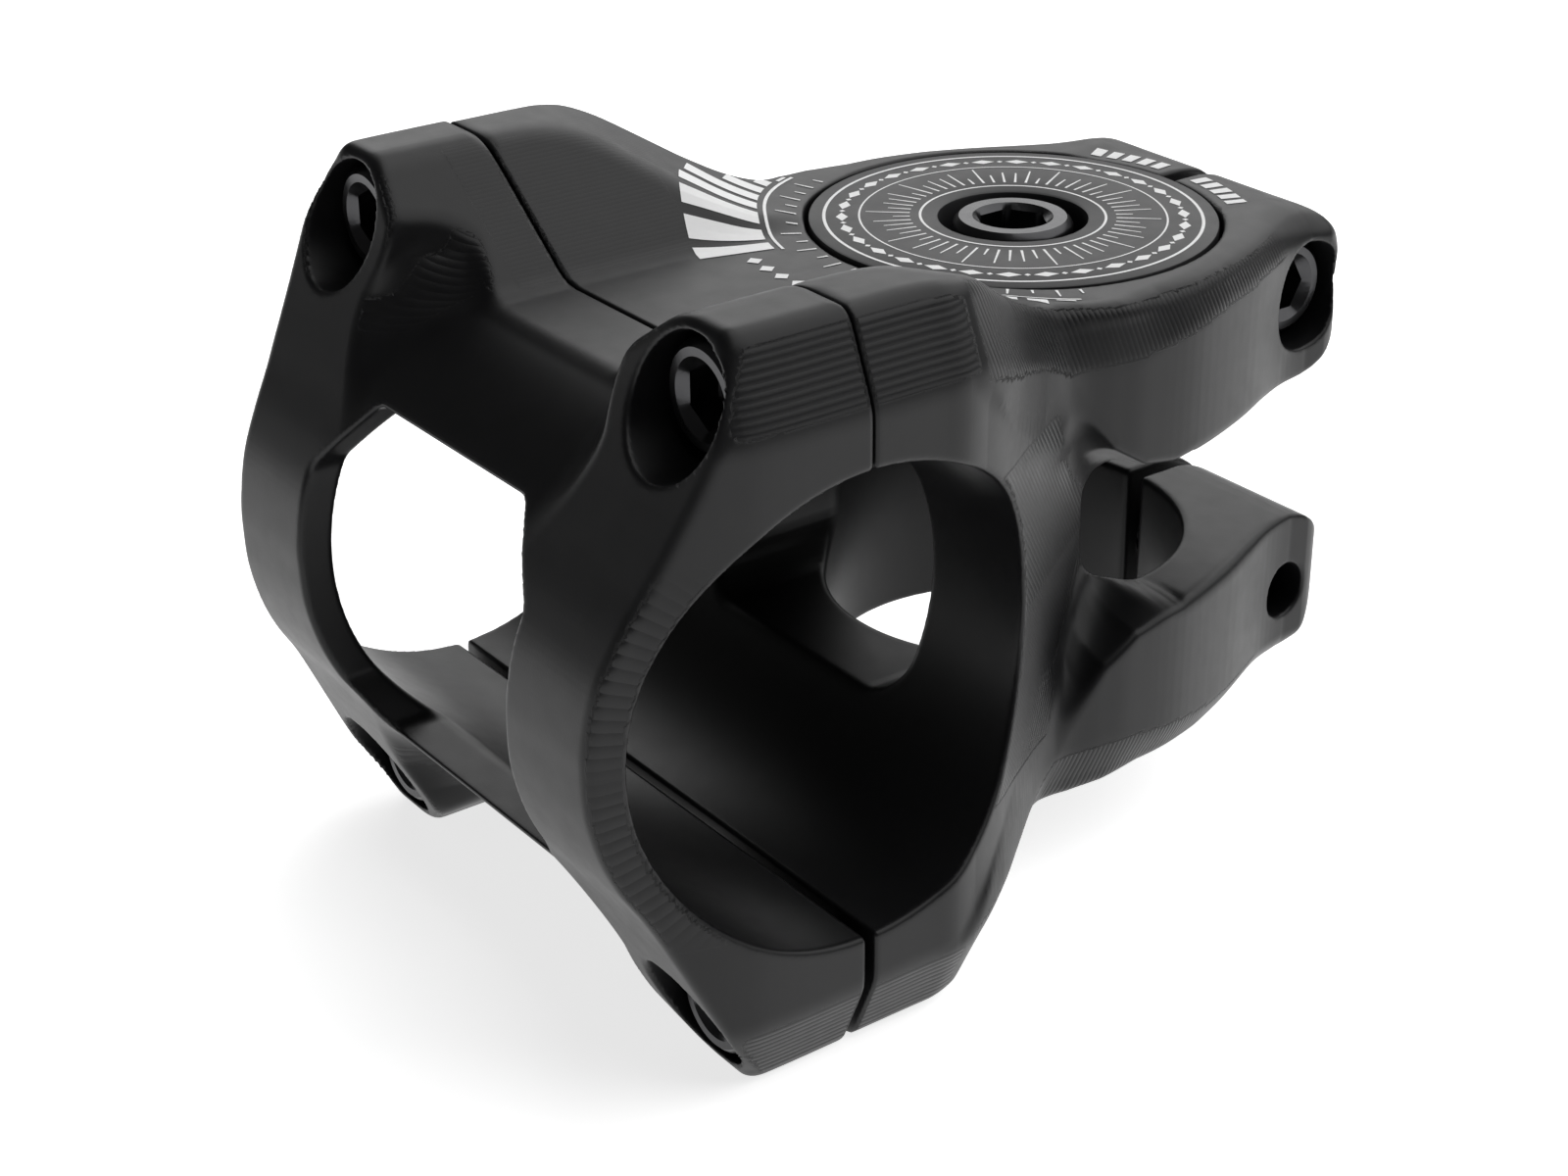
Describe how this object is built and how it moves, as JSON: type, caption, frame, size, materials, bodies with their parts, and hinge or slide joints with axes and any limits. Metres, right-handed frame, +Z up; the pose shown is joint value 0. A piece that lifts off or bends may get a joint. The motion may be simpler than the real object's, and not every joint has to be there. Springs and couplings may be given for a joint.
{
  "type": "handlebar stem",
  "caption": "Short machined bicycle stem with a windowed bolt-on faceplate, slit rear ears with opposed pinch screws and a flush top cap.",
  "frame": {"origin": "on the steerer axis at the underside of the steerer clamp", "axes": "+Z up the steerer, +X along the handlebar, -Y forward to the faceplate"},
  "size_m": [0.055, 0.0794, 0.056],
  "materials": {
    "anodised_aluminium": "satin black anodised, with fine cutter marks",
    "black_steel": "black oxide, satin",
    "washer_steel": "dark plain steel",
    "white_print": "flat printed ink"
  },
  "bodies": {
    "stem_body": {"stem_body": "anodised_aluminium"},
    "faceplate": {"faceplate": "anodised_aluminium"},
    "top_cap": {"top_cap": "anodised_aluminium"},
    "top_cap_bolt": {"top_cap_bolt": "black_steel"},
    "faceplate_washer_upper_right": {"faceplate_washer_upper_right": "washer_steel"},
    "faceplate_bolt_upper_right": {"faceplate_bolt_upper_right": "black_steel"},
    "faceplate_washer_upper_left": {"faceplate_washer_upper_left": "washer_steel"},
    "faceplate_bolt_upper_left": {"faceplate_bolt_upper_left": "black_steel"},
    "faceplate_washer_lower_right": {"faceplate_washer_lower_right": "washer_steel"},
    "faceplate_bolt_lower_right": {"faceplate_bolt_lower_right": "black_steel"},
    "faceplate_washer_lower_left": {"faceplate_washer_lower_left": "washer_steel"},
    "faceplate_bolt_lower_left": {"faceplate_bolt_lower_left": "black_steel"},
    "pinch_washer_upper": {"pinch_washer_upper": "washer_steel"},
    "pinch_bolt_upper": {"pinch_bolt_upper": "black_steel"},
    "pinch_washer_lower": {"pinch_washer_lower": "washer_steel"},
    "pinch_bolt_lower": {"pinch_bolt_lower": "black_steel"}
  },
  "joints": [
    {"name": "faceplate_off", "type": "slide", "parent": "stem_body", "child": "faceplate", "axis": [0, -1, 0], "range_m": [0, 0.03]},
    {"name": "top_cap_lift", "type": "slide", "parent": "stem_body", "child": "top_cap", "axis": [0, 0, 1], "range_m": [0, 0.02]},
    {"name": "top_cap_bolt_turn", "type": "hinge", "parent": "top_cap", "child": "top_cap_bolt", "pos_m": [0, 0, 0.0392], "axis": [0, 0, 1], "range_deg": [0, 7200]},
    {"name": "faceplate_bolt_upper_right_back_off", "type": "slide", "parent": "faceplate", "child": "faceplate_washer_upper_right", "axis": [0, -1, 0], "range_m": [0, 0.012]},
    {"name": "faceplate_bolt_upper_right_turn", "type": "hinge", "parent": "faceplate_washer_upper_right", "child": "faceplate_bolt_upper_right", "pos_m": [0.0214, -0.035, 0.0423], "axis": [0, -1, 0], "range_deg": [0, 5400]},
    {"name": "faceplate_bolt_upper_left_back_off", "type": "slide", "parent": "faceplate", "child": "faceplate_washer_upper_left", "axis": [0, -1, 0], "range_m": [0, 0.012]},
    {"name": "faceplate_bolt_upper_left_turn", "type": "hinge", "parent": "faceplate_washer_upper_left", "child": "faceplate_bolt_upper_left", "pos_m": [-0.0214, -0.035, 0.0423], "axis": [0, -1, 0], "range_deg": [0, 5400]},
    {"name": "faceplate_bolt_lower_right_back_off", "type": "slide", "parent": "faceplate", "child": "faceplate_washer_lower_right", "axis": [0, -1, 0], "range_m": [0, 0.012]},
    {"name": "faceplate_bolt_lower_right_turn", "type": "hinge", "parent": "faceplate_washer_lower_right", "child": "faceplate_bolt_lower_right", "pos_m": [0.0214, -0.035, -0.0031], "axis": [0, -1, 0], "range_deg": [0, 5400]},
    {"name": "faceplate_bolt_lower_left_back_off", "type": "slide", "parent": "faceplate", "child": "faceplate_washer_lower_left", "axis": [0, -1, 0], "range_m": [0, 0.012]},
    {"name": "faceplate_bolt_lower_left_turn", "type": "hinge", "parent": "faceplate_washer_lower_left", "child": "faceplate_bolt_lower_left", "pos_m": [-0.0214, -0.035, -0.0031], "axis": [0, -1, 0], "range_deg": [0, 5400]},
    {"name": "pinch_bolt_upper_back_off", "type": "slide", "parent": "stem_body", "child": "pinch_washer_upper", "axis": [1, 0, 0], "range_m": [0, 0.012]},
    {"name": "pinch_bolt_upper_turn", "type": "hinge", "parent": "pinch_washer_upper", "child": "pinch_bolt_upper", "pos_m": [0, 0.0187, 0.0324], "axis": [1, 0, 0], "range_deg": [0, 5400]},
    {"name": "pinch_bolt_lower_back_off", "type": "slide", "parent": "stem_body", "child": "pinch_washer_lower", "axis": [-1, 0, 0], "range_m": [0, 0.012]},
    {"name": "pinch_bolt_lower_turn", "type": "hinge", "parent": "pinch_washer_lower", "child": "pinch_bolt_lower", "pos_m": [0, 0.0187, 0.0068], "axis": [-1, 0, 0], "range_deg": [0, 5400]}
  ],
  "couplings": [
    {"joint": "top_cap_bolt_turn", "follows": "top_cap_lift", "rad_per_m": 6283.2},
    {"joint": "faceplate_bolt_upper_right_turn", "follows": "faceplate_bolt_upper_right_back_off", "rad_per_m": 7854},
    {"joint": "faceplate_bolt_upper_left_turn", "follows": "faceplate_bolt_upper_left_back_off", "rad_per_m": 7854},
    {"joint": "faceplate_bolt_lower_right_turn", "follows": "faceplate_bolt_lower_right_back_off", "rad_per_m": 7854},
    {"joint": "faceplate_bolt_lower_left_turn", "follows": "faceplate_bolt_lower_left_back_off", "rad_per_m": 7854},
    {"joint": "pinch_bolt_upper_turn", "follows": "pinch_bolt_upper_back_off", "rad_per_m": 7854},
    {"joint": "pinch_bolt_lower_turn", "follows": "pinch_bolt_lower_back_off", "rad_per_m": 7854}
  ]
}
